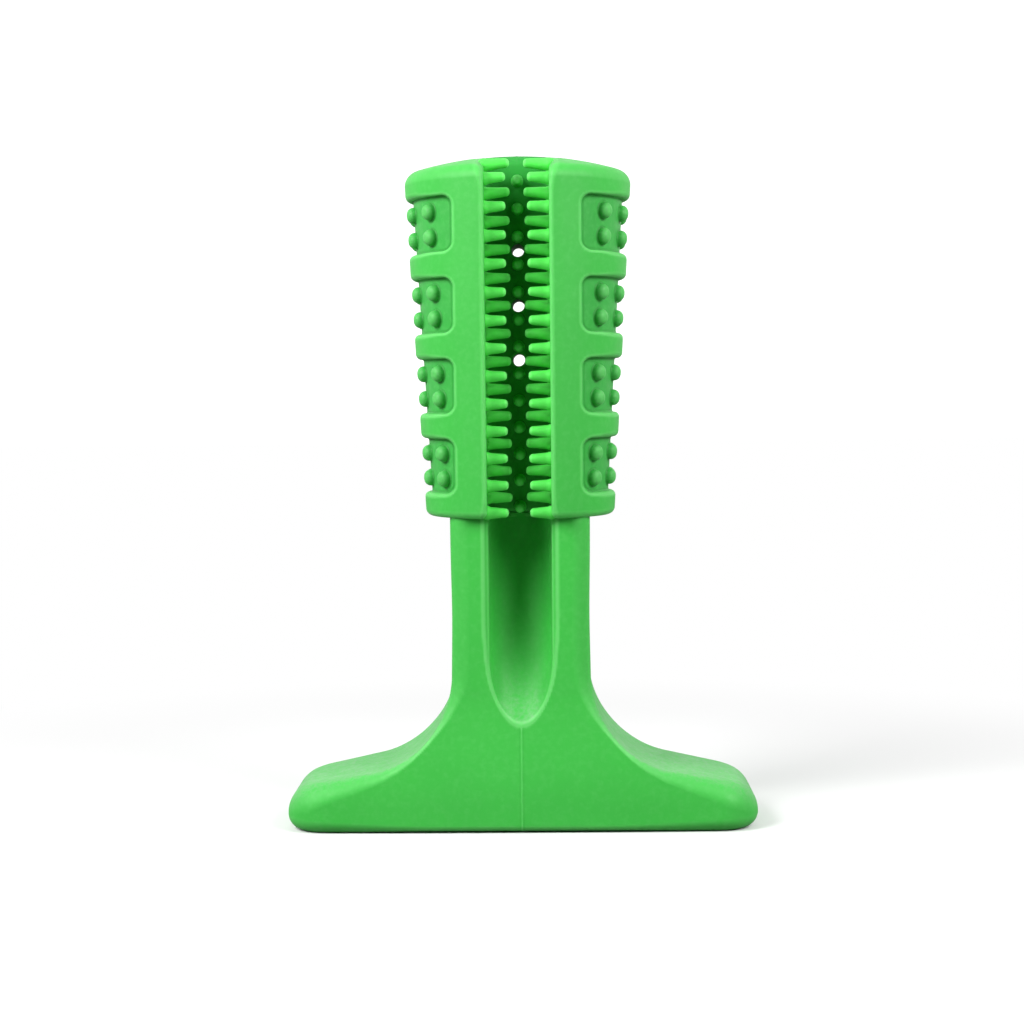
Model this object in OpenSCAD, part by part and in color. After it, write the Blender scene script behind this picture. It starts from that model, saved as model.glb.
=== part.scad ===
// Pet toothbrush: a chew stick whose tapered head holds five rows of rubber bristles in
// a front channel, on a grooved stem and a wide foot that the animal holds with its paws.
// Millimetres. +Z is up, the bristle channel opens towards -Y, and the origin is the
// centre of the foot's underside.

/* [Foot] */
// Width across the two paw wings
foot_w = 87.6; // [80:0.2:96]
// Depth of the foot, front to back
foot_d = 28; // [26:0.5:34]
// Height of a wing's top face where it starts to round over at the tip
wing_tip_h = 8.7; // [8:0.1:9.5]
// Slope of a wing's top face, in degrees
wing_slope = 11; // [9:0.5:12]
// Radius of the sweep from a wing up into the stem
flare_r = 14.5; // [13:0.5:16]

/* [Stem] */
// Width of the stem
stem_w = 25.8; // [24:0.2:27]
// Depth of the stem
stem_d = 25; // [23:0.5:26]
// Radius of the stem's upright corners
stem_corner_r = 3.5; // [3:0.1:6]
// Width of the scooped groove in the stem
groove_w = 11.6; // [10:0.1:12]
// Height at which the groove's floor turns out towards the front
groove_bend_z = 37; // [35:0.5:42]
// Lean of the groove's lower floor from upright, in degrees
groove_lean = 31.5; // [30:0.5:36]

/* [Head] */
// Height of the head's underside
head_z = 58; // [57:0.1:60]
// Height of the crown, the object's highest point
total_h = 125; // [124.5:0.1:128]
// Radius of the head at its shoulder
head_r_top = 21.1; // [20.8:0.1:22]
// Radius of the head at its underside
head_r_bottom = 17.7; // [17.4:0.1:18.2]
// Radius of the crown's shallow dome
crown_r = 68; // [60:2:100]
// Radius of the rounded edge round the crown
shoulder_r = 1.9; // [1.5:0.1:2.5]
// Radius of the rounded edge round the underside
underside_r = 1.2; // [0.8:0.1:1.5]

/* [Bristle channel] */
// Width of the channel
channel_w = 11.7; // [11.4:0.1:12.2]
// Distance of the channel's floor in front of the head's axis, at the underside
channel_floor_y = 2.0; // [1.5:0.1:2.5]
// Radius where the channel's floor meets its walls
channel_floor_r = 1.0; // [0.6:0.1:1.4]

/* [Bristles] */
// Bristles in each row
bristle_count = 13; // [11:1:13]
// Height of the top bristle of the outer and centre rows
bristle_top_z = 119.9; // [119:0.1:120]
// Spacing of the bristles at the top of a row
pitch_top = 5.12; // [5:0.01:5.2]
// Spacing of the bristles at the bottom of a row
pitch_bottom = 4.93; // [4.9:0.01:5.1]
// Distance of the outer side rows from the channel's floor
outer_row_v = 11.0; // [10.8:0.1:11.2]
// Distance of the inner side rows from the channel's floor
inner_row_v = 7.4; // [7.2:0.1:7.6]
// Length of an outer side bristle
outer_len = 3.9; // [3.6:0.05:4.2]
// Length of an inner side bristle
inner_len = 4.55; // [4.2:0.05:4.8]
// Length of a centre bristle
centre_len = 4.8; // [4.4:0.05:5]
// Radius of a side bristle at its root
side_root_r = 1.1; // [1:0.02:1.12]
// Radius of a side bristle at its tip
side_tip_r = 0.85; // [0.7:0.05:0.9]
// Radius of a centre bristle at its root
centre_root_r = 1.0; // [0.9:0.02:1]
// Radius of a centre bristle at its tip
centre_tip_r = 0.85; // [0.75:0.02:0.88]
// How far a row can flex either way, in degrees, which sets the size of the roots
flex_deg = 30; // [20:1:30]
// Clearance round a bristle's ball root
root_gap = 0.05; // [0.03:0.01:0.06]

/* [Nub pockets] */
// Height of the lower edge of the lowest pocket
pocket_z = 62.5; // [62:0.1:63]
// Distance from one pocket to the next
pocket_pitch = 14.65; // [14.4:0.05:14.7]
// Height of a pocket
pocket_h = 10.0; // [9.6:0.1:10.2]
// Distance of a pocket's front and back edges to the side of the head's axis
pocket_edge_x = 11.6; // [11:0.1:12.5]
// Radius of a pocket's corners
pocket_corner_r = 1.8; // [1.2:0.1:2.2]
// Depth from the head's surface to the nub pad's face
pocket_depth = 1.4; // [1.2:0.1:1.6]
// Thickness of a nub pad
pad_t = 1.0; // [0.8:0.1:1.2]
// Radius of a nub
nub_r = 1.25; // [1.1:0.05:1.3]
// Height of a nub above its pad
nub_h = 1.55; // [1.4:0.05:1.6]
// Angle between the columns of nubs
nub_step_deg = 24; // [22:0.5:26]
// Distance between the two rows of nubs in a pocket
nub_row_gap = 4.6; // [4.2:0.1:4.8]

/* [Paste reservoir] */
// Width of the reservoir groove in the back of the head
reservoir_w = 9; // [7:0.5:10]
// Height of the reservoir groove's lower end
reservoir_z = 78; // [76:0.5:80]
// Height of the reservoir groove's upper end
reservoir_top_z = 115; // [113:0.5:116]
// Distance of the reservoir's floor behind the head's axis
reservoir_floor_y = 7.5; // [6:0.5:9]
// Radius of a paste hole
paste_hole_r = 1.15; // [1:0.05:1.15]

/* [Hidden] */
$fn = 48;
rubber = [0.27, 0.74, 0.31];
nub_rubber = [0.36, 0.80, 0.38];
bristle_rubber = [0.40, 0.84, 0.40];
pad_edge_gap = 0.05;     // clearance round the edge and at the back of a nub pad
far = 60;                // longer than any cut needs to be
wing_tip_top_r = 5;      // upper rounding of a wing's tip
wing_tip_low_r = 3.2;    // lower rounding of a wing's tip
wing_plan_r = 7;         // rounding of a wing's end, seen from above
wing_neck_half_d = 11.2; // half depth of the flare where it reaches the stem
wing_flat_z = 6;         // height up to which the foot has its full depth
bend_step = 0.1;         // offset that keeps the groove's two floors from just touching
collar_h = 0.5;          // stub of the stem that belongs to the head
left = -1;
right = 1;
arc_steps = 6;
pocket_count = 4;
paste_hole_after = [2, 4, 6];  // a paste hole follows the centre bristle of this index
nub_rows = [-0.5, 0.5];
nub_columns = [-1.5, -0.5, 0.5, 1.5];

// Heights of the joins between the nodes.
flare_end_x = stem_w / 2 + flare_r * (1 - sin(wing_slope));
wing_top_z = wing_tip_h + (foot_w / 2 - wing_tip_top_r - flare_end_x) * tan(wing_slope);
neck_z = wing_top_z + flare_r * cos(wing_slope);
stem_top_z = head_z - collar_h;

// The head's straight taper runs from the underside to the shoulder.
crown_lean = asin((head_r_top - shoulder_r) / (crown_r - shoulder_r));
shoulder_z = total_h - crown_r + (crown_r - shoulder_r) * cos(crown_lean);
taper_deg = atan((head_r_top - head_r_bottom) / (shoulder_z - head_z));
function head_r(z) = head_r_bottom + (z - head_z) * tan(taper_deg);

// Points of an arc from angle a0 to angle a1.
function arc(cx, cy, r, a0, a1, steps = arc_steps) =
    [for (i = [0:steps]) let (a = a0 + (a1 - a0) * i / steps) [cx + r * cos(a), cy + r * sin(a)]];

// Distance of bristle i below the top one, with a spacing that shrinks down the row.
function bristle_drop(i) =
    pitch_top * i - (pitch_top - pitch_bottom) * i * (i - 1) / (2 * (bristle_count - 2));
function bristle_z(i) = bristle_top_z - bristle_drop(i);

// ---------------------------------------------------------------- foot and stem

// Half of the foot's front outline: underside, wing tip, sloping top and sweep to the stem.
function foot_half_outline() = concat(
    arc(foot_w / 2 - wing_tip_low_r, wing_tip_low_r, wing_tip_low_r, -90, 0),
    arc(foot_w / 2 - wing_tip_top_r, wing_tip_h - wing_tip_top_r / cos(wing_slope),
        wing_tip_top_r, 30, 90 - wing_slope),
    arc(stem_w / 2 + flare_r, neck_z, flare_r, 270 - wing_slope, 180, 2 * arc_steps));

module front_extrude(depth)
    rotate([90, 0, 0]) linear_extrude(height = depth, center = true) children();

module wings()
    intersection() {
        front_extrude(far) {
            polygon(concat([[0, 0]], foot_half_outline(), [[0, neck_z]]));
            mirror([1, 0]) polygon(concat([[0, 0]], foot_half_outline(), [[0, neck_z]]));
        }
        linear_extrude(height = far)
            rounded_rectangle(foot_w, foot_d, wing_plan_r);
        rotate([90, 0, 90]) linear_extrude(height = 2 * far, center = true)
            polygon([[-foot_d / 2, 0], [foot_d / 2, 0], [foot_d / 2, wing_flat_z],
                     [wing_neck_half_d, neck_z], [-wing_neck_half_d, neck_z],
                     [-foot_d / 2, wing_flat_z]]);
    }

// A rectangle with rounded corners, centred on the origin.
module rounded_rectangle(w, d, r)
    polygon([for (corner = [[1, 1, 0], [-1, 1, 90], [-1, -1, 180], [1, -1, 270]])
             each arc(corner[0] * (w / 2 - r), corner[1] * (d / 2 - r), r,
                      corner[2], corner[2] + 90)]);

module stem_column(z0, z1)
    translate([0, 0, z0]) linear_extrude(height = z1 - z0)
        rounded_rectangle(stem_w, stem_d, stem_corner_r);

// A round-nosed slot that opens towards -Y, with its nose on the Z axis.
module nosed_slot(h) {
    cylinder(d = groove_w, h = h);
    translate([-groove_w / 2, -far / 2, 0]) cube([groove_w, far / 2, h]);
}

// The groove: its floor is upright up to the bend, then leans out to the front face.
module groove()
    translate([0, -channel_floor_y, groove_bend_z]) {
        translate([0, -groove_w / 2 - bend_step, -4 * bend_step])
            nosed_slot(head_z - groove_bend_z + 1);
        rotate([-groove_lean, 0, 0]) mirror([0, 0, 1])
            translate([0, -groove_w / 2, 0]) nosed_slot(far / 2);
    }

module foot()
    color(rubber) difference() {
        union() {
            wings();
            stem_column(0, neck_z);
        }
        groove();
    }

module stem()
    color(rubber) difference() {
        stem_column(neck_z, stem_top_z);
        groove();
    }

// ---------------------------------------------------------------- head

// The head's outline to one side of its axis, from the underside up to the crown.
function head_outline() = concat(
    [[0, head_z]],
    arc(head_r_bottom - underside_r, head_z + underside_r, underside_r, -90, 0),
    arc(head_r_top - shoulder_r, shoulder_z, shoulder_r, 0, 90 - crown_lean),
    arc(0, total_h - crown_r, crown_r, 90 - crown_lean, 90));

// Places children in the channel's own frame: its floor is the XZ plane, and it follows
// the head's taper.
module in_channel()
    translate([0, -channel_floor_y, head_z]) rotate([taper_deg, 0, 0]) children();

module channel()
    in_channel() translate([0, 0, -far / 4]) linear_extrude(height = 2 * far)
        polygon(concat(
            [[channel_w / 2, -far / 2], [-channel_w / 2, -far / 2]],
            [for (p = arc(-channel_w / 2 + channel_floor_r, -channel_floor_r,
                          channel_floor_r, 180, 90)) p],
            [for (p = arc(channel_w / 2 - channel_floor_r, -channel_floor_r,
                          channel_floor_r, 90, 0)) p]));

module reservoir()
    translate([0, reservoir_floor_y, 0]) rotate([-90, 0, 0]) {
        for (z = [reservoir_z + reservoir_w / 2, reservoir_top_z - reservoir_w / 2])
            translate([0, -z, 0]) cylinder(d = reservoir_w, h = far);
        translate([-reservoir_w / 2, -reservoir_top_z + reservoir_w / 2, 0])
            cube([reservoir_w, reservoir_top_z - reservoir_z - reservoir_w, far]);
    }

module paste_holes()
    for (i = paste_hole_after)
        translate([0, -head_r_bottom, bristle_z(i + 0.5)])
            rotate([-90, 0, 0]) cylinder(r = paste_hole_r, h = 2 * head_r_bottom);

// ---------------------------------------------------------------- nub pockets and pads

function pocket_low_z(i) = pocket_z + (pocket_count - i) * pocket_pitch;

// A shell of the head between two depths under its tapering surface.
module head_shell(z0, z1, inner, outer)
    rotate_extrude()
        polygon([[head_r(z0) - inner, z0], [head_r(z0) - outer, z0],
                 [head_r(z1) - outer, z1], [head_r(z1) - inner, z1]]);

// The part of a shell inside a round-cornered window that starts at distance x0 to the
// side of the head's axis, as seen from the front.
module window_in_shell(x0, z0, z1, inner, outer, r)
    intersection() {
        head_shell(z0 - 1, z1 + 1, inner, outer);
        front_extrude(far)
            polygon(concat([[far / 2, z0], [far / 2, z1]],
                           arc(x0 + r, z1 - r, r, 90, 180),
                           arc(x0 + r, z0 + r, r, 180, 270)));
    }

module facing(side)
    rotate([0, 0, side == right ? 0 : 180]) children();

module pocket(side, i)
    facing(side) window_in_shell(pocket_edge_x, pocket_low_z(i),
                                 pocket_low_z(i) + pocket_h,
                                 pocket_depth + pad_t, -far / 10, pocket_corner_r);

// A stud with a domed end, pointing along +Z from the origin.
module nub()
    rotate_extrude()
        polygon(concat([[0, -pad_t / 2], [nub_r, -pad_t / 2]],
                       arc(0, nub_h - nub_r, nub_r, 0, 90)));

module nub_pad(side, i) {
    z0 = pocket_low_z(i);
    mid_z = z0 + pocket_h / 2;
    color(nub_rubber) facing(side) {
        window_in_shell(pocket_edge_x + pad_edge_gap, z0 + pad_edge_gap,
                        z0 + pocket_h - pad_edge_gap,
                        pocket_depth + pad_t - pad_edge_gap, pocket_depth, pocket_corner_r);
        for (row = nub_rows, column = nub_columns)
            rotate([0, 0, column * nub_step_deg])
                translate([head_r(mid_z + row * nub_row_gap) - pocket_depth, 0,
                           mid_z + row * nub_row_gap])
                    rotate([0, 90 + taper_deg, 0]) nub();
    }
}

// ---------------------------------------------------------------- bristles

// A bristle's ball root is wide enough for its shaft to clear the wall at full flex.
function ball_r(root_r) = root_r / cos(flex_deg);
function shaft_start(root_r) = root_r * tan(flex_deg);

// A tapered bristle with a ball root at the origin, pointing along +Z.
module bristle(len, root_r, tip_r)
    rotate_extrude()
        polygon(concat(arc(0, 0, ball_r(root_r), -90, flex_deg, 8),
                       arc(0, len - tip_r, tip_r, 0, 90)));

// Places children at each bristle of a side row. `stagger` shifts the row by part of a
// pitch.
module at_side_row(side, v, stagger)
    in_channel() for (i = [0:bristle_count - 1])
        translate([side * channel_w / 2, -v, bristle_z(i - stagger) - head_z])
            rotate([0, -side * 90, 0]) children();

module at_centre_row()
    in_channel() for (i = [0:bristle_count - 1])
        translate([0, 0, bristle_z(i) - head_z]) rotate([90, 0, 0]) children();

module outer_bristles(side)
    color(bristle_rubber) at_side_row(side, outer_row_v, 0)
        bristle(outer_len, side_root_r, side_tip_r);

module inner_bristles(side)
    color(bristle_rubber) at_side_row(side, inner_row_v, 0.5)
        bristle(inner_len, side_root_r, side_tip_r);

module centre_bristles()
    color(bristle_rubber) at_centre_row()
        bristle(centre_len, centre_root_r, centre_tip_r);

module sockets() {
    for (side = [left, right]) {
        at_side_row(side, outer_row_v, 0) sphere(r = ball_r(side_root_r) + root_gap);
        at_side_row(side, inner_row_v, 0.5) sphere(r = ball_r(side_root_r) + root_gap);
    }
    at_centre_row() sphere(r = ball_r(centre_root_r) + root_gap);
}

module head()
    color(rubber) difference() {
        union() {
            rotate_extrude() polygon(head_outline());
            stem_column(stem_top_z, head_z + 1);
        }
        channel();
        groove();
        reservoir();
        paste_holes();
        for (side = [left, right], i = [1:pocket_count]) pocket(side, i);
        sockets();
    }

// ---------------------------------------------------------------- nodes

foot();
stem();
head();
nub_pad(left, 1);  // left_nub_pad_1
nub_pad(left, 2);  // left_nub_pad_2
nub_pad(left, 3);  // left_nub_pad_3
nub_pad(left, 4);  // left_nub_pad_4
nub_pad(right, 1);  // right_nub_pad_1
nub_pad(right, 2);  // right_nub_pad_2
nub_pad(right, 3);  // right_nub_pad_3
nub_pad(right, 4);  // right_nub_pad_4
outer_bristles(left);  // left_outer_bristles
inner_bristles(left);  // left_inner_bristles
outer_bristles(right);  // right_outer_bristles
inner_bristles(right);  // right_inner_bristles
centre_bristles();
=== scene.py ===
"""Pet toothbrush: a green moulded-rubber chew stick with bristles in a front channel.

Each moulded region is meshed from a smooth distance field, so that its edges are rounded
the way a mould leaves them. The bristles are turned shapes. Lengths are in millimetres
until a mesh is made.
"""
import math

import bpy
import numpy as np
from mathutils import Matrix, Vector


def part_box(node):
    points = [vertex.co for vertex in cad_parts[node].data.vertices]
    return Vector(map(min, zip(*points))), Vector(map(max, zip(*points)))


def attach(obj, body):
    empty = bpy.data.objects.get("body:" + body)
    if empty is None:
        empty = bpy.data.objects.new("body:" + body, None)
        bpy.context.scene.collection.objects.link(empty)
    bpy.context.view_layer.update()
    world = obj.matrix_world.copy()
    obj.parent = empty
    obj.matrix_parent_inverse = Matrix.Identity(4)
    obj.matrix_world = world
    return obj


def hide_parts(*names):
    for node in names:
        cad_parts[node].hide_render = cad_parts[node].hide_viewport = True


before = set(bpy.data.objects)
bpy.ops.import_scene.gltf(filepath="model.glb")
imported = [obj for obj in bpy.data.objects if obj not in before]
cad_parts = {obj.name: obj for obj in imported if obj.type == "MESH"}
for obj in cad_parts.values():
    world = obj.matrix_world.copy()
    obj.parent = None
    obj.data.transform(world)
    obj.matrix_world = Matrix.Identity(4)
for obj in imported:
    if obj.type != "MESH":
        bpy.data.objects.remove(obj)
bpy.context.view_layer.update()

import openvdb
from mathutils import Euler, Vector
from mathutils.geometry import tessellate_polygon

MM = 0.001
SEED = 7

# ------------------------------------------------------------------ sizes, in mm

FOOT_W, FOOT_D = 87.6, 28.0
WING_TIP_H, WING_SLOPE = 8.7, math.radians(11.0)
FLARE_R = 14.5
STEM_W, STEM_D, STEM_CORNER_R = 25.8, 25.0, 3.5
GROOVE_R = 5.8
GROOVE_BEND_Z, GROOVE_LEAN, GROOVE_BLEND_R = 37.0, math.radians(32.4), 9.0
HEAD_Z, TOTAL_H = 58.0, 124.6
HEAD_R_TOP, HEAD_R_BOTTOM = 21.1, 17.7
CROWN_R, SHOULDER_R, UNDERSIDE_R = 68.0, 1.9, 1.3
CHANNEL_W, CHANNEL_FLOOR_Y, CHANNEL_FLOOR_R = 11.7, 2.0, 1.0
POCKET_Z, POCKET_PITCH, POCKET_H, POCKET_COUNT = 62.5, 14.65, 10.0, 4
POCKET_EDGE_X, POCKET_CORNER_R, POCKET_DEPTH, POCKET_CUT = 11.6, 1.9, 1.4, 2.3
NUB_BASE_R, NUB_TIP_R, NUB_H, NUB_ROUND_R = 1.52, 1.42, 1.55, 1.1
NUB_ROWS, NUB_COLUMNS = (-2.3, 2.3), (-36, -12, 12, 36)
RESERVOIR_W, RESERVOIR_Z, RESERVOIR_TOP_Z, RESERVOIR_Y = 9.0, 78.0, 115.0, 7.5
PASTE_HOLE_R = 1.15
BRISTLE_COUNT, BRISTLE_TOP_Z, PITCH_TOP, PITCH_BOTTOM = 13, 119.9, 5.12, 4.93
PASTE_HOLE_AFTER = (2, 4, 6)
OUTER_V, INNER_V = 11.0, 7.4
OUTER_LEN, INNER_LEN, CENTRE_LEN = 3.9, 4.55, 4.8
SIDE_ROOT_R, SIDE_TIP_R, CENTRE_ROOT_R, CENTRE_TIP_R = 1.1, 0.85, 1.0, 0.85
NECK_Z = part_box("foot")[1].z / MM

CROWN_LEAN = math.asin((HEAD_R_TOP - SHOULDER_R) / (CROWN_R - SHOULDER_R))
SHOULDER_Z = TOTAL_H - CROWN_R + (CROWN_R - SHOULDER_R) * math.cos(CROWN_LEAN)
TAPER = math.atan((HEAD_R_TOP - HEAD_R_BOTTOM) / (SHOULDER_Z - HEAD_Z))

# ------------------------------------------------------------------ field tools


def blend_step(t):
    """A smooth rise from 0 to 1 as t goes from 0 to 1."""
    t = np.clip(t, 0.0, 1.0)
    return t * t * (3 - 2 * t)


def meet(a, b, r):
    """Both solids at once, with a rounded edge of radius r."""
    return np.minimum(-r, np.maximum(a, b)) + np.hypot(np.maximum(r + a, 0), np.maximum(r + b, 0))


def join(a, b, r):
    """Either solid, with a fillet of radius r between them."""
    return -meet(-a, -b, r)


def cut(a, b, r):
    """Solid a without b, with a rounded edge of radius r."""
    return meet(a, -b, r)


def bevel_cut(a, b, leg, r):
    """Solid a without b, with a flat bevel along the edge."""
    return meet(cut(a, b, r), (a - b + leg) / math.sqrt(2), r)


def rounded_rect(x, y, half_w, half_d, r):
    """An upright bar with corners of radius r."""
    qx, qy = np.abs(x) - half_w + r, np.abs(y) - half_d + r
    return np.hypot(np.maximum(qx, 0), np.maximum(qy, 0)) + np.minimum(np.maximum(qx, qy), 0) - r


def nosed_slot(x, v, r):
    """A slot open towards larger v, with a round nose that touches v = 0."""
    return np.where(v < r, np.hypot(x, v - r), np.abs(x)) - r


# ------------------------------------------------------------------ the moulding's fields


def head_cone(x, y, z):
    """The head's tapered side."""
    radius = HEAD_R_BOTTOM + (z - HEAD_Z) * math.tan(TAPER)
    return (np.hypot(x, y) - radius) * math.cos(TAPER)


def channel_coords(y, z):
    """Distance v in front of the channel's floor, and w up along it."""
    dy, dz = y + CHANNEL_FLOOR_Y, z - HEAD_Z
    return (-dy * math.cos(TAPER) - dz * math.sin(TAPER),
            -dy * math.sin(TAPER) + dz * math.cos(TAPER))


def channel_point(x, v, w):
    """The point with the given channel coordinates."""
    return Vector((x, -CHANNEL_FLOOR_Y - v * math.cos(TAPER) - w * math.sin(TAPER),
                   HEAD_Z - v * math.sin(TAPER) + w * math.cos(TAPER)))


def bristle_z(i):
    """Height of bristle i of a row, counted from the top. The pitch shortens downwards."""
    return (BRISTLE_TOP_Z - PITCH_TOP * i
            + (PITCH_TOP - PITCH_BOTTOM) * i * (i - 1) / (2 * (BRISTLE_COUNT - 2)))


def window(x, z, low_z):
    """A pocket's outline as seen from the front."""
    return meet(POCKET_EDGE_X - np.abs(x), np.abs(z - low_z - POCKET_H / 2) - POCKET_H / 2,
                POCKET_CORNER_R)


def pocket_low_z(i):
    return POCKET_Z + (POCKET_COUNT - i) * POCKET_PITCH


JAW_EDGE_R, JAW_TOP_R, JAW_BOTTOM_R = 0.8, 1.9, 1.3
JAW_TOP_Z, JAW_TOP_H, JAW_BOTTOM_Z, JAW_BOTTOM_H = 117.0, 5.0, 62.0, 4.0
POCKET_EDGE_R, RIB_EDGE_R, RIB_EDGE_Y, RIB_EDGE_BLEND = 0.45, 1.0, 8.0, 7.0
RESERVOIR_FLOOR_R, RESERVOIR_EDGE_R, PASTE_HOLE_EDGE_R = 2.0, 0.9, 0.25
SEAM_H, SEAM_HALF_W = 0.05, 0.18


def seam(x):
    """The fine ridge that the mould's halves leave where they meet."""
    return SEAM_H * np.exp(-(x / SEAM_HALF_W) ** 2)


def head_field(x, y, z):
    """The head with its channel, side pockets, paste holes and the trough at its back."""
    cone = head_cone(x, y, z)
    crown = np.sqrt(x * x + y * y + (z - TOTAL_H + CROWN_R) ** 2) - CROWN_R
    f = meet(cone, crown, SHOULDER_R)
    f = meet(f, HEAD_Z - z, UNDERSIDE_R)
    f = f - seam(x)
    rib = blend_step((np.abs(y) - RIB_EDGE_Y) / RIB_EDGE_BLEND)
    edge_r = RIB_EDGE_R + (POCKET_EDGE_R - RIB_EDGE_R) * rib
    for i in range(1, POCKET_COUNT + 1):
        hole = np.maximum(window(x, z, pocket_low_z(i)), -cone - POCKET_CUT)
        f = cut(f, hole, edge_r)
    reservoir_mid = (RESERVOIR_Z + RESERVOIR_TOP_Z) / 2
    half_run = (RESERVOIR_TOP_Z - RESERVOIR_Z - RESERVOIR_W) / 2
    trough = np.hypot(x, np.maximum(np.abs(z - reservoir_mid) - half_run, 0)) - RESERVOIR_W / 2
    f = cut(f, meet(trough, RESERVOIR_Y - y, RESERVOIR_FLOOR_R), RESERVOIR_EDGE_R)
    v, _ = channel_coords(y, z)
    channel = meet(np.abs(x) - CHANNEL_W / 2, -v, CHANNEL_FLOOR_R)
    near_top = blend_step((z - JAW_TOP_Z) / JAW_TOP_H)
    near_bottom = blend_step((JAW_BOTTOM_Z - z) / JAW_BOTTOM_H)
    edge_r = (JAW_EDGE_R + (JAW_TOP_R - JAW_EDGE_R) * near_top
              + (JAW_BOTTOM_R - JAW_EDGE_R) * near_bottom)
    f = cut(f, channel, edge_r)
    for i in PASTE_HOLE_AFTER:
        hole_z = bristle_z(i + 0.5)
        f = cut(f, np.hypot(x, z - hole_z) - PASTE_HOLE_R, PASTE_HOLE_EDGE_R)
    return f


def groove(x, y, z):
    """The stem's groove: its floor is upright above the bend and leans out below it."""
    dy, dz = -CHANNEL_FLOOR_Y - y, z - GROOVE_BEND_Z
    lower = dy * math.cos(GROOVE_LEAN) + dz * math.sin(GROOVE_LEAN)
    return nosed_slot(x, -meet(-dy, -lower, GROOVE_BLEND_R), GROOVE_R)


STEM_WAIST, STEM_WAIST_Z, STEM_WAIST_H = 0.2, 40.0, 9.0
WING_EDGE_X, WING_EDGE_R, WING_TIP_R, WING_LOW_R, WING_TIP_LOW_R = 15.0, 0.6, 4.6, 1.2, 2.8
CORNER_START_Z, CORNER_BLEND = 15.0, 16.0
FOOT_PLAN_R, FOOT_FULL_D_Z = 7.0, 5.0
ARCH_H, ARCH_EDGE, ARCH_BLEND = 0.35, 6.0, 22.0
RIM_LEG, RIM_R, RIM_FULL_Z = 0.95, 0.3, 40.0
RIM_LOW_LEG, RIM_LOW_R, RIM_FADE_Z = 0.02, 0.07, 22.0
STEM_PEG_H, STEM_PEG_GAP = 0.5, 0.05


def stem_field(x, y, z):
    """The foot and stem, which flow into each other."""
    ax = np.abs(x)
    waist = STEM_WAIST * np.exp(-((z - STEM_WAIST_Z) / STEM_WAIST_H) ** 2)
    wing_top = ((z - WING_TIP_H) * math.cos(WING_SLOPE)
                - (FOOT_W / 2 - WING_TIP_R - ax) * math.sin(WING_SLOPE))
    tee = join(ax - STEM_W / 2 + waist, wing_top, FLARE_R)
    low = blend_step((NECK_Z - z) / (NECK_Z - FOOT_FULL_D_Z))
    plan = rounded_rect(x, y, FOOT_W / 2, (STEM_D + (FOOT_D - STEM_D) * low) / 2, FOOT_PLAN_R)
    tip = blend_step((ax - WING_EDGE_X) / (FOOT_W / 2 - WING_EDGE_X))
    up = blend_step((z - CORNER_START_Z) / CORNER_BLEND)
    f = meet(tee, plan, WING_EDGE_R + (WING_TIP_R - WING_EDGE_R) * tip
             + (STEM_CORNER_R - WING_EDGE_R) * up)
    arch = ARCH_H * blend_step((FOOT_W / 2 - ARCH_EDGE - ax) / ARCH_BLEND)
    f = meet(f, arch - z, WING_LOW_R + (WING_TIP_LOW_R - WING_LOW_R) * tip)
    f = f - seam(x)
    rim = blend_step((z - RIM_FADE_Z) / (RIM_FULL_Z - RIM_FADE_Z))
    f = bevel_cut(f, groove(x, y, z), RIM_LOW_LEG + (RIM_LEG - RIM_LOW_LEG) * rim,
                  RIM_LOW_R + (RIM_R - RIM_LOW_R) * rim)
    f = np.maximum(f, z - HEAD_Z - STEM_PEG_H)
    v, _ = channel_coords(y, z)
    channel = np.maximum(np.abs(x) - CHANNEL_W / 2, -v)
    return np.maximum(f, np.minimum(-channel, z - HEAD_Z + STEM_PEG_GAP))


NUB_FILLET_R, PAD_EDGE_FILLET_R, PAD_OVERLAP, PAD_EXTRA_DEPTH = 0.25, 0.35, 0.35, 0.4


def pad_field(i):
    """The floor of pocket i on the right, with its nubs."""
    low_z = pocket_low_z(i)
    nubs = []
    for row in NUB_ROWS:
        for degrees in NUB_COLUMNS:
            z = low_z + POCKET_H / 2 + row
            a = math.radians(degrees)
            out = np.array([math.cos(a) * math.cos(TAPER), math.sin(a) * math.cos(TAPER),
                            -math.sin(TAPER)])
            r = HEAD_R_BOTTOM + (z - HEAD_Z) * math.tan(TAPER) - POCKET_DEPTH
            nubs.append((np.array([r * math.cos(a), r * math.sin(a), z]), out))

    def field(x, y, z):
        cone = head_cone(x, y, z)
        edge = window(x, z, low_z)
        inset = np.clip(PAD_EDGE_FILLET_R + edge, 0, PAD_EDGE_FILLET_R)
        rise = PAD_EDGE_FILLET_R - np.sqrt(PAD_EDGE_FILLET_R ** 2 - inset ** 2)
        f = cone + POCKET_DEPTH - rise
        for centre, out in nubs:
            px, py, pz = x - centre[0], y - centre[1], z - centre[2]
            along = px * out[0] + py * out[1] + pz * out[2]
            across = np.sqrt(np.maximum(px * px + py * py + pz * pz - along * along, 0))
            side = across - NUB_BASE_R + along * (NUB_BASE_R - NUB_TIP_R) / NUB_H
            f = join(f, meet(side, along - NUB_H, NUB_ROUND_R), NUB_FILLET_R)
        f = np.maximum(f, edge - PAD_OVERLAP)
        return np.maximum(f, -cone - POCKET_CUT - PAD_EXTRA_DEPTH)
    return field


# ------------------------------------------------------------------ meshing


def axis_grid(low, high, step, fine_step=None, fine_half=0.0):
    """Positions from low to high, closer together within fine_half of zero."""
    points = [low]
    while points[-1] < high:
        p = points[-1]
        near = fine_step is not None and abs(p) < fine_half
        points.append(p + (fine_step if near else step))
    return np.array(points)


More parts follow.
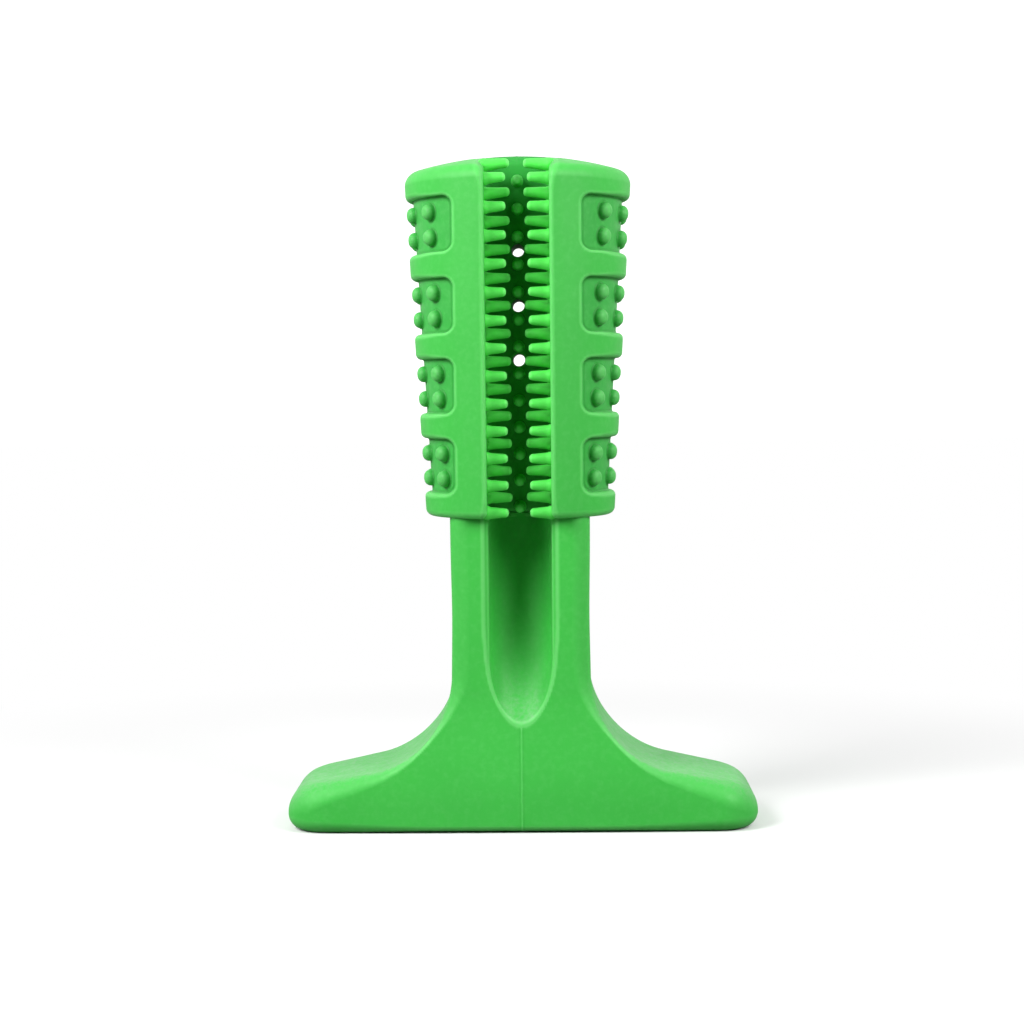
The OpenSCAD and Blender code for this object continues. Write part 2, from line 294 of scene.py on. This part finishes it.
SLOPE_REACH, BEND_REACH = 0.01, 0.3
POLISH_STEPS, POLISH_MAX_MOVE, MIN_SLOPE_SQUARE = 3, 0.15, 0.05
OUTSIDE_VALUE, SLAB = 10.0, 16


def probe(field, p, reach):
    """The field's values a short way ahead of and behind each point, along each axis."""
    steps = reach * np.eye(3)
    return ([field(*(p + step).T) for step in steps], [field(*(p - step).T) for step in steps])


def mesh_from_field(field, xs, ys, zs):
    """Vertices, unit normals, bends and quads of a field's surface, settled onto the surface.

    A vertex's bend is above zero on an outward edge and below zero in a crease.
    """
    values = np.empty((len(xs), len(ys), len(zs)), np.float32)
    for k in range(0, len(zs), SLAB):
        x, y, z = np.meshgrid(xs, ys, zs[k:k + SLAB], indexing="ij")
        values[:, :, k:k + SLAB] = field(x, y, z)
    grid = openvdb.FloatGrid(OUTSIDE_VALUE)
    grid.copyFromArray(values)
    points, quads = grid.convertToQuads(0.0)
    p = np.stack([np.interp(points[:, a], np.arange(len(g)), g)
                  for a, g in enumerate((xs, ys, zs))], axis=1)
    for step in range(POLISH_STEPS + 1):
        ahead, behind = probe(field, p, SLOPE_REACH)
        gradient = np.stack([a - b for a, b in zip(ahead, behind)], axis=1) / (2 * SLOPE_REACH)
        square = np.maximum((gradient ** 2).sum(1), MIN_SLOPE_SQUARE)
        if step < POLISH_STEPS:
            move = gradient * (field(*p.T) / square)[:, None]
            size = np.maximum(np.linalg.norm(move, axis=1), 1e-9)
            p = p - move * np.minimum(1, POLISH_MAX_MOVE / size)[:, None]
    normals = gradient / np.sqrt(square)[:, None]
    here = field(*p.T)
    ahead, behind = probe(field, p, BEND_REACH)
    bend = sum(a + b - 2 * here for a, b in zip(ahead, behind)) / BEND_REACH ** 2
    a, b, c = (p[quads[:, k]] for k in range(3))
    facing = (np.cross(b - a, c - a) * normals[quads[:, 0]]).sum()
    if facing < 0:
        quads = quads[:, ::-1]
    return p, normals, bend, quads


def make_piece(name, points, normals, bend, faces, body, slot, node_name, material):
    """A piece that rides on body and replaces one node. Without normals it's shaded smooth."""
    mesh = bpy.data.meshes.new(name)
    mesh.from_pydata((points * MM).tolist(), [], [list(map(int, f)) for f in faces])
    mesh.validate()
    mesh.shade_smooth()
    if normals is not None:
        mesh.normals_split_custom_set_from_vertices(normals.tolist())
    attribute = mesh.attributes.new("bend", "FLOAT", "POINT")
    attribute.data.foreach_set("value", np.asarray(bend, np.float32))
    mesh.materials.append(material)
    piece = bpy.data.objects.new(name, mesh)
    bpy.context.collection.objects.link(piece)
    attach(piece, body)
    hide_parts(node_name)


def open_loops(quads):
    """Loops of vertices round the open edges, in the order that closing faces need."""
    edges = {(q[i], q[(i + 1) % 4]) for q in quads.tolist() for i in range(4)}
    ahead = {b: a for a, b in edges if (b, a) not in edges}
    loops = []
    while ahead:
        loop = [min(ahead)]
        while ahead[loop[-1]] != loop[0]:
            loop.append(ahead[loop[-1]])
        for v in loop:
            del ahead[v]
        loops.append(loop)
    return loops


CAP_INSET = 0.35


def take_faces(points, normals, bend, quads, keep):
    """The chosen faces with their own vertices, and a flat cap just inside each open edge."""
    used, flat = np.unique(quads[keep], return_inverse=True)
    quads = flat.reshape(-1, 4)
    points, normals, bend = points[used], normals[used], bend[used]
    faces = quads.tolist()
    for loop in open_loops(quads):
        inner = points[loop] - normals[loop] * CAP_INSET
        inner[:, 2] = inner[:, 2].mean()
        outline = [Vector(v) for v in inner]
        facing = sum((a.cross(b) for a, b in zip(outline, outline[1:] + outline[:1])), Vector())
        first = len(points)
        for k, v in enumerate(loop):
            after = (k + 1) % len(loop)
            faces.append([v, loop[after], first + after, first + k])
        for tri in tessellate_polygon([outline]):
            a, b, c = (outline[k] for k in tri)
            tri = tri if (b - a).cross(c - a).dot(facing) > 0 else tri[::-1]
            faces.append([first + k for k in tri])
        points, bend = np.vstack([points, inner]), np.append(bend, bend[loop])
        normals = np.vstack([normals, np.tile(facing.normalized(), (len(loop), 1))])
    return points, normals, bend, faces


# ------------------------------------------------------------------ materials


ROUGHNESS, ROUGHNESS_LESS, ROUGHNESS_MORE = 0.52, 0.05, 0.08
SHINE, SUNKEN_SHINE = 0.33, 0.45
SCATTER, SCATTER_RADIUS, SCATTER_SCALE = 0.2, (0.35, 1.0, 0.35), 0.0016
SHEEN, SHEEN_ROUGHNESS, SHEEN_TINT = 0.08, 0.4, (0.95, 1.0, 0.95, 1.0)
GRAIN_STRENGTH, GRAIN_DEPTH = 0.25, 0.00006
CLOUD_SCALE, FLECK_SCALE, SPECKLE_SCALE, GLOSS_SCALE, GRAIN_SCALE = 60, 900, 1300, 240, 1600
NOISE_SHIFT = (1.0, 0.7, 1.3)
# tone of the clouds and flecks, then the painted highlight on edges and the painted shade in
# creases
CLOUDS, FLECKS, EDGE_HIGHLIGHT, CREASE_DARK = 0.5, 0.12, 0.45, 0.8
EDGE_BEND, CREASE_BEND = (0.2, 1.6), (-0.1, -1.4)
CREASE_SHADE = (0.02, 0.28, 0.03)
# colour, amounts and reach of the painted sheen with dust on up-facing surfaces, less higher up
DUST_AND_SHEEN, LEAST_DUST_AND_SHEEN, SCOOP_DUST_AND_SHEEN, DUST_AND_SHEEN_COLOUR = 0.42, 0.04, 0.7, (0.37, 0.39, 0.38)
FRONT_FACING, FLANK_RISE, SCOOP_RISE = (0.15, 0.85), (0.05, 0.5), (0.3, 0.5)
DUST_AND_SHEEN_HIGH_UP, DUST_AND_SHEEN_TOP_Z, DUST_AND_SHEEN_FULL_Z = 0.12, 36 * MM, 21 * MM
# where painted shade darkens the channel, and its colour and strength
CHANNEL_OUT_X, CHANNEL_IN_X = 6.4 * MM, 5.8 * MM
SHADE_START_Y, SHADE_FULL_Y, SHADE_END_Y = -12.5 * MM, -4 * MM, -2 * MM
SHADE_LOW_Z, SHADE_TOP_Z = 85 * MM, 115 * MM
CHANNEL_SHADE_GREEN, CHANNEL_SHADE, TOP_SHADE = (0.024, 0.26, 0.042), 0.25, 0.85


class Shader:
    """A Principled material under construction, with short names for the nodes it needs."""

    def __init__(self, name, seed):
        self.material = bpy.data.materials.new(name)
        self.material.use_nodes = True
        self.nodes, self.links = self.material.node_tree.nodes, self.material.node_tree.links
        self.nodes.clear()
        self.principled = self.node("ShaderNodeBsdfPrincipled")
        self.link(self.principled.outputs[0], self.node("ShaderNodeOutputMaterial").inputs[0])
        self.place = self.node("ShaderNodeTexCoord").outputs["Object"]
        shift = self.node("ShaderNodeVectorMath", operation="ADD")
        shift.inputs[1].default_value = tuple(seed * k for k in NOISE_SHIFT)
        self.link(self.place, shift.inputs[0])
        self.shifted = shift.outputs[0]

    def node(self, kind, **settings):
        n = self.nodes.new(kind)
        for key, value in settings.items():
            setattr(n, key, value)
        return n

    def link(self, value, socket):
        if isinstance(value, bpy.types.NodeSocket):
            self.links.new(value, socket)
        else:
            socket.default_value = value

    def feed(self, socket_name, value):
        self.link(value, self.principled.inputs[socket_name])

    def noise(self, scale, detail, rough=0.5):
        n = self.node("ShaderNodeTexNoise")
        for name, value in (("Scale", scale), ("Detail", detail), ("Roughness", rough),
                            ("Vector", self.shifted)):
            self.link(value, n.inputs[name])
        return n.outputs["Fac"]

    def remap(self, value, low, high, to_low, to_high):
        n = self.node("ShaderNodeMapRange")
        for name, setting in (("From Min", low), ("From Max", high), ("To Min", to_low),
                              ("To Max", to_high), ("Value", value)):
            self.link(setting, n.inputs[name])
        return n.outputs["Result"]

    def math(self, operation, *values):
        n = self.node("ShaderNodeMath", operation=operation)
        for socket, value in zip(n.inputs, values):
            self.link(value, socket)
        return n.outputs[0]

    def product(self, first, *others):
        for other in others:
            first = self.math("MULTIPLY", first, other)
        return first

    def split(self, vector):
        n = self.node("ShaderNodeSeparateXYZ")
        self.link(vector, n.inputs[0])
        return n.outputs["X"], n.outputs["Y"], n.outputs["Z"]

    def mix(self, fac, a, b):
        n = self.node("ShaderNodeMix", data_type="RGBA")
        self.link(fac, n.inputs["Factor"])
        for name, colour in (("A", a), ("B", b)):
            self.link((*colour, 1.0) if isinstance(colour, tuple) else colour, n.inputs[name])
        return n.outputs["Result"]


def rubber(name, base, deep, pale, seed=0.0, channel=False):
    """Satin, slightly cloudy moulded rubber, with painted highlight on edges and painted shade in
    creases.

    base and deep: the clouds' two colours. channel: painted shade, a deeper green, down in the
    channel.
    """
    s = Shader(name, seed)
    colour = s.mix(s.remap(s.noise(CLOUD_SCALE, 4.0), 0.35, 0.65, 0.0, CLOUDS), base, deep)
    flecks = s.remap(s.noise(FLECK_SCALE, 3.0, 0.6), 0.45, 0.8, 0.0, FLECKS)
    colour = s.mix(flecks, colour, pale)
    bend = s.node("ShaderNodeAttribute", attribute_name="bend").outputs["Fac"]
    # painted highlight on outward edges and painted shade in creases, both keyed to the bend
    colour = s.mix(s.remap(bend, *EDGE_BEND, 0.0, EDGE_HIGHLIGHT), colour, pale)
    colour = s.mix(s.remap(bend, *CREASE_BEND, 0.0, CREASE_DARK), colour, CREASE_SHADE)

    # painted sheen of the white room, mottled with dust, on up-facing foot flanks and the groove's
    # bottom
    x, y, z = s.split(s.place)
    _, facing_y, facing_z = s.split(s.node("ShaderNodeNewGeometry").outputs["Normal"])
    inside = s.remap(s.math("ABSOLUTE", x), CHANNEL_OUT_X, CHANNEL_IN_X, 0.0, 1.0)
    sideways = s.remap(s.math("ABSOLUTE", facing_y), *FRONT_FACING, 1.0, 0.0)
    flank = s.product(sideways, s.remap(facing_z, *FLANK_RISE, 0.0, 1.0))
    scoop = s.product(inside, s.remap(facing_z, *SCOOP_RISE, 0.0, SCOOP_DUST_AND_SHEEN))
    speckle = s.remap(s.noise(SPECKLE_SCALE, 4.0, 0.7), 0.38, 0.7, LEAST_DUST_AND_SHEEN, DUST_AND_SHEEN)
    lower_down = s.remap(z, DUST_AND_SHEEN_TOP_Z, DUST_AND_SHEEN_FULL_Z, DUST_AND_SHEEN_HIGH_UP, 1.0)
    dust_and_sheen = s.product(s.math("MAXIMUM", flank, scoop), speckle, lower_down)
    colour = s.mix(dust_and_sheen, colour, DUST_AND_SHEEN_COLOUR)

    s.feed("Specular IOR Level", SHINE)
    if channel:
        # painted shade: the channel darkens towards a deeper green, most near the head's top, with
        # less shine
        shaded_channel = s.product(inside, s.remap(y, 0.0, SHADE_END_Y, 0.0, 1.0),
                           s.remap(y, SHADE_START_Y, SHADE_FULL_Y, 0.0, 1.0))
        shade = s.remap(z, SHADE_LOW_Z, SHADE_TOP_Z, CHANNEL_SHADE, TOP_SHADE)
        colour = s.mix(s.product(shaded_channel, shade), colour, CHANNEL_SHADE_GREEN)
        s.feed("Specular IOR Level", s.remap(shaded_channel, 0.0, 0.6, SHINE, SUNKEN_SHINE * SHINE))
    s.feed("Base Color", colour)
    s.feed("Roughness", s.remap(s.noise(GLOSS_SCALE, 5.0), 0.3, 0.7,
                                ROUGHNESS - ROUGHNESS_LESS, ROUGHNESS + ROUGHNESS_MORE))
    s.feed("Subsurface Weight", SCATTER)
    s.feed("Subsurface Radius", SCATTER_RADIUS)
    s.feed("Subsurface Scale", SCATTER_SCALE)
    s.feed("Sheen Weight", SHEEN)
    s.feed("Sheen Roughness", SHEEN_ROUGHNESS)
    s.feed("Sheen Tint", SHEEN_TINT)
    grain = s.node("ShaderNodeBump")
    s.link(GRAIN_STRENGTH, grain.inputs["Strength"])
    s.link(GRAIN_DEPTH, grain.inputs["Distance"])
    s.link(s.noise(GRAIN_SCALE, 4.0, 0.65), grain.inputs["Height"])
    s.feed("Normal", grain.outputs["Normal"])
    return s.material


BODY = rubber("moulded_rubber", base=(0.050, 0.50, 0.062), deep=(0.042, 0.46, 0.054),
              pale=(0.20, 0.74, 0.21), channel=True)
# a darker copy of the body's rubber, as painted shade in the pockets, with a paler edge colour for
# the nubs' painted highlight
SHADED_NUB_RUBBER = rubber("nub_rubber", base=(0.040, 0.41, 0.058), deep=(0.034, 0.37, 0.050),
              pale=(0.26, 0.82, 0.25), seed=3.0)
# lighter copies of the body's rubber, as painted light that the bristles catch; the centre row's
# paler edge colour paints brighter tips
LIT_BRISTLE_RUBBER = rubber("bristle_rubber", base=(0.095, 0.78, 0.095), deep=(0.080, 0.72, 0.082),
                  pale=(0.30, 0.95, 0.30), seed=5.0)
LIT_CENTRE_BRISTLE_RUBBER = rubber("centre_bristle_rubber", base=(0.09, 0.76, 0.10), deep=(0.08, 0.72, 0.09),
                       pale=(0.36, 0.98, 0.36), seed=9.0)

# ------------------------------------------------------------------ the moulding

HEAD_STEP, PAD_STEP, STEM_STEP = ((0.34, 0.26, 0.36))
SEAM_STEP, SEAM_FINE_HALF_W = 0.1, 0.6
MARGIN, FOOT_MARGIN, STEM_TOP_MARGIN = 1.0, 1.2, 1.6
PAD_IN_X, PAD_HALF_D = 10.0, 18.5
NUB_HIGHLIGHT_BEND = 0.9

head_reach = HEAD_R_TOP + MARGIN
p, n, k, q = mesh_from_field(
    head_field, axis_grid(-head_reach, head_reach, HEAD_STEP, SEAM_STEP, SEAM_FINE_HALF_W),
    axis_grid(-head_reach, head_reach, HEAD_STEP),
    axis_grid(HEAD_Z - MARGIN, TOTAL_H + MARGIN, HEAD_STEP))
make_piece("head_moulding", p, n, k, q, "moulding", "moulded_body", "head", BODY)

half_w, half_d = FOOT_W / 2 + FOOT_MARGIN, FOOT_D / 2 + FOOT_MARGIN
p, n, k, q = mesh_from_field(
    stem_field, axis_grid(-half_w, half_w, STEM_STEP, SEAM_STEP, SEAM_FINE_HALF_W),
    axis_grid(-half_d, half_d, STEM_STEP),
    axis_grid(-MARGIN, HEAD_Z + STEM_TOP_MARGIN, STEM_STEP))
above = p[q][:, :, 2].mean(1) > NECK_Z
for name, keep, node_name in (("stem_moulding", above, "stem"), ("foot_moulding", ~above, "foot")):
    piece = take_faces(p, n, k, q, keep)
    make_piece(name, *piece, "moulding", "moulded_body", node_name, BODY)

for i in range(1, POCKET_COUNT + 1):
    low_z = pocket_low_z(i)
    p, n, k, q = mesh_from_field(
        pad_field(i), axis_grid(PAD_IN_X, HEAD_R_TOP + MARGIN, PAD_STEP),
        axis_grid(-PAD_HALF_D, PAD_HALF_D, PAD_STEP),
        axis_grid(low_z - MARGIN, low_z + POCKET_H + MARGIN, PAD_STEP))
    height = head_cone(*p.T) + POCKET_DEPTH
    # the nubs' bend rises with height, so the edge highlight is painted evenly over them
    k = np.where(k > 0, NUB_HIGHLIGHT_BEND * blend_step(height / NUB_H), k)
    for side, sign in (("right", 1), ("left", -1)):
        flip = np.array([sign, 1, 1])
        make_piece(f"{side}_nub_pad_skin_{i}", p * flip, n * flip, k,
                   q if sign > 0 else q[:, ::-1], "moulding", "nub_pad",
                   f"{side}_nub_pad_{i}", SHADED_NUB_RUBBER)

# ------------------------------------------------------------------ bristles

SIDES, RINGS_BALL, RINGS_SHAFT, RINGS_TIP = 28, 8, 6, 7
BALL_START, BALL_END = math.radians(-76.5), math.radians(30)
# bend values that paint a highlight towards each bristle's tip
TIP_HIGHLIGHT_BEND, TIP_HIGHLIGHT_REACH, TIP_CENTRE_HIGHLIGHT_BEND = 1.6, 0.7, 1.12
TIP_ROUNDNESS = 0.8
TIP_LIFT = math.radians(4.5)
TILT_SPREAD, LENGTH_SPREAD, WIDTH_SPREAD = math.radians(0.7), 0.04, 0.012


def bristle_profile(length, root_r, tip_r):
    """Distance along and radius, from the ball inside the wall to the tip."""
    ball = root_r / math.cos(BALL_END)
    profile = [(-ball, 0.0)]
    profile += [(ball * math.sin(a), ball * math.cos(a))
                for a in np.linspace(BALL_START, BALL_END, RINGS_BALL)]
    edge_r = tip_r * TIP_ROUNDNESS
    start, end = ball * math.sin(BALL_END), length - edge_r
    profile += [(start + (end - start) * t, root_r + (tip_r - root_r) * t)
                for t in np.linspace(0, 1, RINGS_SHAFT + 1)[1:]]
    profile += [(end + edge_r * math.sin(a), tip_r - edge_r + edge_r * math.cos(a))
                for a in np.linspace(0, math.pi / 2, RINGS_TIP + 1)[1:]]
    profile.append((length, 0.0))
    return profile


def lathe(profile, origin, along, up):
    """Points, a bend value at each that paints a highlight towards the tip, and faces."""
    side = along.cross(up).normalized()
    up = side.cross(along).normalized()
    points, bend, faces, last = [], [], [], None
    tip = profile[-1][0]
    for distance, radius in profile:
        centre = origin + along * distance
        if radius == 0:
            ring = [len(points)]
            points.append(centre)
            bend.append(TIP_CENTRE_HIGHLIGHT_BEND)
        else:
            ring = list(range(len(points), len(points) + SIDES))
            for k in range(SIDES):
                a = 2 * math.pi * k / SIDES
                points.append(centre + (side * math.cos(a) + up * math.sin(a)) * radius)
            bend += [TIP_HIGHLIGHT_BEND * max(0.0, 1 - (tip - distance) / TIP_HIGHLIGHT_REACH)] * SIDES
        if last is not None:
            for k in range(SIDES):
                j = (k + 1) % SIDES
                if len(last) == 1:
                    faces.append([last[0], ring[j], ring[k]])
                elif len(ring) == 1:
                    faces.append([last[k], last[j], ring[0]])
                else:
                    faces.append([last[k], last[j], ring[j], ring[k]])
        last = ring
    return points, bend, faces


def bristle_row(name, body, node_name, spots, length, root_r, tip_r, rng, material):
    """One row. spots: the root, the direction and the upward lean of each bristle."""
    points, bend, faces = [], [], []
    for root, along, lift in spots:
        tilt = rng.normal(0, TILT_SPREAD, 2)
        up = Vector((0, math.sin(TAPER), math.cos(TAPER)))
        direction = (along + up * (math.tan(lift) + tilt[0])
                     + along.cross(up) * tilt[1]).normalized()
        long = length + rng.normal(0, LENGTH_SPREAD)
        wide = 1 + rng.normal(0, WIDTH_SPREAD)
        p, k, f = lathe(bristle_profile(long, root_r, tip_r * wide), root, direction, up)
        faces += [[v + len(points) for v in face] for face in f]
        points, bend = points + p, bend + k
    make_piece(name, np.array(points), None, bend, faces, body, "bristle", node_name, material)


rng = np.random.default_rng(SEED)
for side, sign in (("left", -1), ("right", 1)):
    for row, v, stagger, length in (("outer", OUTER_V, 0.0, OUTER_LEN),
                                    ("inner", INNER_V, 0.5, INNER_LEN)):
        spots = []
        for i in range(BRISTLE_COUNT):
            w = bristle_z(i - stagger) - HEAD_Z
            lift = TIP_LIFT * (1 - i / (BRISTLE_COUNT - 1))
            spots.append((channel_point(sign * CHANNEL_W / 2, v, w), Vector((-sign, 0, 0)), lift))
        bristle_row(f"{side}_{row}_bristle_row", f"{side}_{row}_row", f"{side}_{row}_bristles",
                    spots, length, SIDE_ROOT_R, SIDE_TIP_R, rng, LIT_BRISTLE_RUBBER)
out_of_floor = Vector((0, -math.cos(TAPER), -math.sin(TAPER)))
spots = [(channel_point(0, 0, bristle_z(i) - HEAD_Z), out_of_floor, 0.0)
         for i in range(BRISTLE_COUNT)]
bristle_row("centre_bristle_row", "centre_row", "centre_bristles", spots, CENTRE_LEN,
            CENTRE_ROOT_R, CENTRE_TIP_R, rng, LIT_CENTRE_BRISTLE_RUBBER)

# ------------------------------------------------------------------ floor, light and camera


FLOOR_SIZE, FLOOR_COLOUR, FLOOR_ROUGHNESS = 6.0, (0.9, 0.9, 0.9), 0.9
FLOOR_FADE_START, FLOOR_FADE_END, FAR_FLOOR_LIGHT = 0.07, 0.20, 0.15
FLOOR_BOUNCE = 0.28


def floor_material():
    """A pale sheet that runs out into the white backdrop away from the object."""
    material = bpy.data.materials.new("pale_floor")
    material.use_nodes = True
    nodes, links = material.node_tree.nodes, material.node_tree.links
    sheet = nodes["Principled BSDF"]
    sheet.inputs["Base Color"].default_value = (*FLOOR_COLOUR, 1.0)
    sheet.inputs["Roughness"].default_value = FLOOR_ROUGHNESS
    coords = nodes.new("ShaderNodeTexCoord")
    distance = nodes.new("ShaderNodeVectorMath")
    distance.operation = "LENGTH"
    links.new(coords.outputs["Object"], distance.inputs[0])
    fade = nodes.new("ShaderNodeMapRange")
    fade.interpolation_type = "SMOOTHSTEP"
    fade.inputs["From Min"].default_value = FLOOR_FADE_START
    fade.inputs["From Max"].default_value = FLOOR_FADE_END
    links.new(distance.outputs["Value"], fade.inputs["Value"])
    path = nodes.new("ShaderNodeLightPath")
    glow = nodes.new("ShaderNodeEmission")
    brightness = nodes.new("ShaderNodeMapRange")
    brightness.inputs["To Min"].default_value = FAR_FLOOR_LIGHT
    links.new(path.outputs["Is Camera Ray"], brightness.inputs["Value"])
    links.new(brightness.outputs["Result"], glow.inputs["Strength"])
    blend = nodes.new("ShaderNodeMixShader")
    links.new(fade.outputs["Result"], blend.inputs["Fac"])
    bounce = nodes.new("ShaderNodeBsdfDiffuse")
    bounce.inputs["Color"].default_value = (FLOOR_BOUNCE, FLOOR_BOUNCE, FLOOR_BOUNCE, 1.0)
    near = nodes.new("ShaderNodeMixShader")
    links.new(path.outputs["Is Camera Ray"], near.inputs["Fac"])
    links.new(bounce.outputs[0], near.inputs[1])
    links.new(sheet.outputs[0], near.inputs[2])
    links.new(near.outputs[0], blend.inputs[1])
    links.new(glow.outputs[0], blend.inputs[2])
    links.new(blend.outputs[0], nodes["Material Output"].inputs["Surface"])
    return material


bpy.ops.mesh.primitive_plane_add(size=FLOOR_SIZE)
floor = bpy.context.object
floor.name = "floor"
floor.data.materials.append(floor_material())

FRONT_LIGHT, BACK_LIGHT, BACKDROP_LIGHT = 0.02, 0.95, 1.6
FRONT_Y, BACK_Y, OVERHEAD_DIM = -0.4, 0.3, 0.25


def studio_world():
    """A white backdrop that wraps round behind the object, and a dim room behind the camera."""
    world = bpy.context.scene.world or bpy.data.worlds.new("studio")
    bpy.context.scene.world = world
    world.use_nodes = True
    nodes, links = world.node_tree.nodes, world.node_tree.links
    light = nodes["Background"]
    light.inputs["Color"].default_value = (1.0, 1.0, 1.0, 1.0)
    coords = nodes.new("ShaderNodeTexCoord")
    direction = nodes.new("ShaderNodeVectorMath")
    direction.operation = "DOT_PRODUCT"
    direction.inputs[1].default_value = (0, 1, -OVERHEAD_DIM)
    links.new(coords.outputs["Generated"], direction.inputs[0])
    strength = nodes.new("ShaderNodeMapRange")
    for name, value in (("From Min", FRONT_Y), ("From Max", BACK_Y),
                        ("To Min", FRONT_LIGHT), ("To Max", BACK_LIGHT)):
        strength.inputs[name].default_value = value
    links.new(direction.outputs["Value"], strength.inputs["Value"])
    links.new(strength.outputs["Result"], light.inputs["Strength"])
    backdrop = nodes.new("ShaderNodeBackground")
    backdrop.inputs["Strength"].default_value = BACKDROP_LIGHT
    path = nodes.new("ShaderNodeLightPath")
    choice = nodes.new("ShaderNodeMixShader")
    links.new(path.outputs["Is Camera Ray"], choice.inputs["Fac"])
    links.new(light.outputs[0], choice.inputs[1])
    links.new(backdrop.outputs[0], choice.inputs[2])
    links.new(choice.outputs[0], nodes["World Output"].inputs["Surface"])


studio_world()


def area_light(name, place, aim, size, power):
    data = bpy.data.lights.new(name, "AREA")
    data.shape = "DISK"
    data.size = size
    data.energy = power
    lamp = bpy.data.objects.new(name, data)
    lamp.location = place
    lamp.rotation_euler = (Vector(aim) - Vector(place)).to_track_quat("-Z", "Y").to_euler()
    bpy.context.collection.objects.link(lamp)


LIGHT_AIM, LIGHT_SIZE = (0, 0, 0.09), 0.24
KEY_PLACE, KEY_POWER = (-0.25, -0.19, 0.262), 1.81
FILL_PLACE, FILL_POWER = (0.26, -0.19, 0.245), 1.30
area_light("key", KEY_PLACE, LIGHT_AIM, LIGHT_SIZE, KEY_POWER)
area_light("fill", FILL_PLACE, LIGHT_AIM, LIGHT_SIZE, FILL_POWER)

CAMERA_PITCH, CAMERA_ROLL, CAMERA_TURN = math.radians(3.31), math.radians(0.55), math.radians(1.1)
CAMERA_SIDE, CAMERA_BACK, CAMERA_HEIGHT = -0.0014, 0.3893, 0.0809
LENS_MM, SENSOR_MM = 72.67, 36.0
camera_data = bpy.data.cameras.new("camera")
camera_data.lens = LENS_MM
camera_data.sensor_width = SENSOR_MM
camera = bpy.data.objects.new("camera", camera_data)
camera.location = (CAMERA_SIDE * math.cos(CAMERA_TURN) + CAMERA_BACK * math.sin(CAMERA_TURN),
                   CAMERA_SIDE * math.sin(CAMERA_TURN) - CAMERA_BACK * math.cos(CAMERA_TURN),
                   CAMERA_HEIGHT)
camera.rotation_euler = Euler((math.radians(90) - CAMERA_PITCH, CAMERA_ROLL, CAMERA_TURN))
bpy.context.collection.objects.link(camera)
bpy.context.scene.camera = camera
bpy.context.scene.view_settings.view_transform = "Standard"
